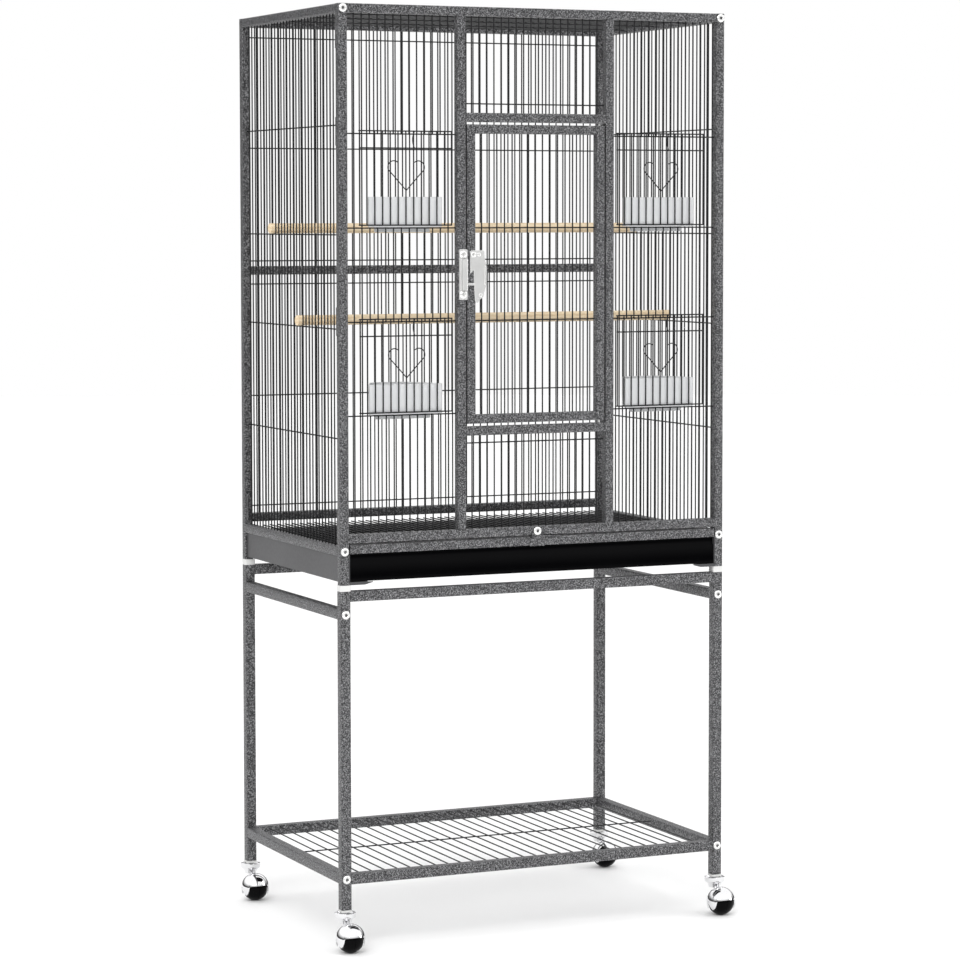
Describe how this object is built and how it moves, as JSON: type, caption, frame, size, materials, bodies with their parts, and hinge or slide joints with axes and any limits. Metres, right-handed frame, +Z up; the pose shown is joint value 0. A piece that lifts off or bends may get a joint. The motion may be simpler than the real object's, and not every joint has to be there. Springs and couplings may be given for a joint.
{
  "type": "bird cage on stand",
  "caption": "Tall wire cage with an opening front door, slide-up feeder doors, perches and a pull-out tray, on a wheeled stand with a wire shelf.",
  "frame": {"origin": "on the floor, at the centre of the plan outline of the whole part, casters included", "axes": "+X to the right seen from the front, +Y to the back, +Z up; the front door faces -Y"},
  "size_m": [0.64, 0.443, 1.339],
  "materials": {
    "powder_coat": "hammered silver-vein powder coat",
    "sheet_coat": "smooth satin powder coat",
    "black_wire": "black powder coat",
    "zinc": "bright zinc plate",
    "chrome": "polished chrome plate",
    "white_plastic": "moulded, satin",
    "cup_plastic": "translucent moulded plastic",
    "pine": "sanded, bare",
    "tray_enamel": "gloss black",
    "wheel_black": "gloss black nylon"
  },
  "bodies": {
    "frame": {"stand_legs": "powder_coat", "stand_top_rails": "powder_coat", "stand_side_rails": "powder_coat", "shelf_rails": "powder_coat", "shelf_grid": "black_wire", "stand_bolts": "zinc", "caster_sockets": "white_plastic", "post_spacers": "white_plastic", "cage_posts": "powder_coat", "front_top_rail": "powder_coat", "front_bottom_rail": "powder_coat", "door_posts": "powder_coat", "door_header": "powder_coat", "door_sill": "powder_coat", "back_rails": "powder_coat", "side_rails_left": "powder_coat", "side_rails_right": "powder_coat", "front_bars_left": "black_wire", "front_bars_right": "black_wire", "front_bars_over_door": "black_wire", "front_bars_under_door": "black_wire", "back_bars_upper": "black_wire", "back_bars_lower": "black_wire", "side_bars_left": "black_wire", "side_bars_right": "black_wire", "roof_bars": "black_wire", "side_skirts": "sheet_coat", "hook_plates": "powder_coat", "cage_bolts": "zinc", "tray_runners": "sheet_coat", "latch_keeper": "zinc", "perch_upper": "pine", "perch_lower": "pine", "door_hinge_bushes": "zinc"},
    "front_door": {"door_frame": "powder_coat", "door_bars": "black_wire", "door_hinge_pins": "zinc", "latch_pivot_screw": "zinc"},
    "latch": {"latch_lever": "zinc"},
    "grate": {"grate_front_bar": "powder_coat", "grate_wires": "black_wire"},
    "tray": {"drip_tray": "tray_enamel"},
    "clip": {"grate_clip": "powder_coat"},
    "feeder_door_upper_left": {"feeder_door_upper_left": "black_wire"},
    "feeder_cup_upper_left": {"feeder_cup_upper_left": "cup_plastic"},
    "feeder_door_upper_right": {"feeder_door_upper_right": "black_wire"},
    "feeder_cup_upper_right": {"feeder_cup_upper_right": "cup_plastic"},
    "feeder_door_lower_left": {"feeder_door_lower_left": "black_wire"},
    "feeder_cup_lower_left": {"feeder_cup_lower_left": "cup_plastic"},
    "feeder_door_lower_right": {"feeder_door_lower_right": "black_wire"},
    "feeder_cup_lower_right": {"feeder_cup_lower_right": "cup_plastic"},
    "caster_front_left": {"caster_hood_front_left": "chrome"},
    "wheel_front_left": {"caster_wheel_front_left": "wheel_black"},
    "caster_front_right": {"caster_hood_front_right": "chrome"},
    "wheel_front_right": {"caster_wheel_front_right": "wheel_black"},
    "caster_back_left": {"caster_hood_back_left": "chrome"},
    "wheel_back_left": {"caster_wheel_back_left": "wheel_black"},
    "caster_back_right": {"caster_hood_back_right": "chrome"},
    "wheel_back_right": {"caster_wheel_back_right": "wheel_black"}
  },
  "joints": [
    {"name": "front_door_hinge", "type": "hinge", "parent": "frame", "child": "front_door", "pos_m": [0.1025, -0.18255, 0.959], "axis": [0, 0, 1], "range_deg": [0, 110]},
    {"name": "latch_swing", "type": "hinge", "parent": "front_door", "child": "latch", "pos_m": [-0.1015, -0.18945, 0.9875], "axis": [0, -1, 0], "range_deg": [0, 30]},
    {"name": "grate_slide", "type": "slide", "parent": "frame", "child": "grate", "axis": [0, -1, 0], "range_m": [0, 0.36]},
    {"name": "tray_slide", "type": "slide", "parent": "frame", "child": "tray", "axis": [0, -1, 0], "range_m": [0, 0.36]},
    {"name": "clip_turn", "type": "hinge", "parent": "frame", "child": "clip", "pos_m": [0, -0.18924, 0.5875], "axis": [0, -1, 0], "range_deg": [0, 90]},
    {"name": "feeder_door_upper_left_slide", "type": "slide", "parent": "frame", "child": "feeder_door_upper_left", "axis": [0, 0, 1], "range_m": [0, 0.1]},
    {"name": "feeder_door_upper_right_slide", "type": "slide", "parent": "frame", "child": "feeder_door_upper_right", "axis": [0, 0, 1], "range_m": [0, 0.1]},
    {"name": "feeder_door_lower_left_slide", "type": "slide", "parent": "frame", "child": "feeder_door_lower_left", "axis": [0, 0, 1], "range_m": [0, 0.1]},
    {"name": "feeder_door_lower_right_slide", "type": "slide", "parent": "frame", "child": "feeder_door_lower_right", "axis": [0, 0, 1], "range_m": [0, 0.1]},
    {"name": "feeder_cup_upper_left_lift", "type": "slide", "parent": "frame", "child": "feeder_cup_upper_left", "axis": [0, 0, 1], "range_m": [0, 0.02]},
    {"name": "feeder_cup_upper_right_lift", "type": "slide", "parent": "frame", "child": "feeder_cup_upper_right", "axis": [0, 0, 1], "range_m": [0, 0.02]},
    {"name": "feeder_cup_lower_left_lift", "type": "slide", "parent": "frame", "child": "feeder_cup_lower_left", "axis": [0, 0, 1], "range_m": [0, 0.02]},
    {"name": "feeder_cup_lower_right_lift", "type": "slide", "parent": "frame", "child": "feeder_cup_lower_right", "axis": [0, 0, 1], "range_m": [0, 0.02]},
    {"name": "caster_swivel_front_left", "type": "hinge", "parent": "frame", "child": "caster_front_left", "pos_m": [-0.2985, -0.18055, 0.07], "axis": [0, 0, 1], "continuous": true},
    {"name": "caster_swivel_front_right", "type": "hinge", "parent": "frame", "child": "caster_front_right", "pos_m": [0.2985, -0.18055, 0.07], "axis": [0, 0, 1], "continuous": true},
    {"name": "caster_swivel_back_left", "type": "hinge", "parent": "frame", "child": "caster_back_left", "pos_m": [-0.2985, 0.20645, 0.07], "axis": [0, 0, 1], "continuous": true},
    {"name": "caster_swivel_back_right", "type": "hinge", "parent": "frame", "child": "caster_back_right", "pos_m": [0.2985, 0.20645, 0.07], "axis": [0, 0, 1], "continuous": true},
    {"name": "caster_roll_front_left", "type": "hinge", "parent": "caster_front_left", "child": "wheel_front_left", "pos_m": [-0.2985, -0.20055, 0.02], "axis": [1, 0, 0], "continuous": true},
    {"name": "caster_roll_front_right", "type": "hinge", "parent": "caster_front_right", "child": "wheel_front_right", "pos_m": [0.2985, -0.20055, 0.02], "axis": [1, 0, 0], "continuous": true},
    {"name": "caster_roll_back_left", "type": "hinge", "parent": "caster_back_left", "child": "wheel_back_left", "pos_m": [-0.2985, 0.18646, 0.02], "axis": [1, 0, 0], "continuous": true},
    {"name": "caster_roll_back_right", "type": "hinge", "parent": "caster_back_right", "child": "wheel_back_right", "pos_m": [0.2985, 0.18646, 0.02], "axis": [1, 0, 0], "continuous": true}
  ]
}
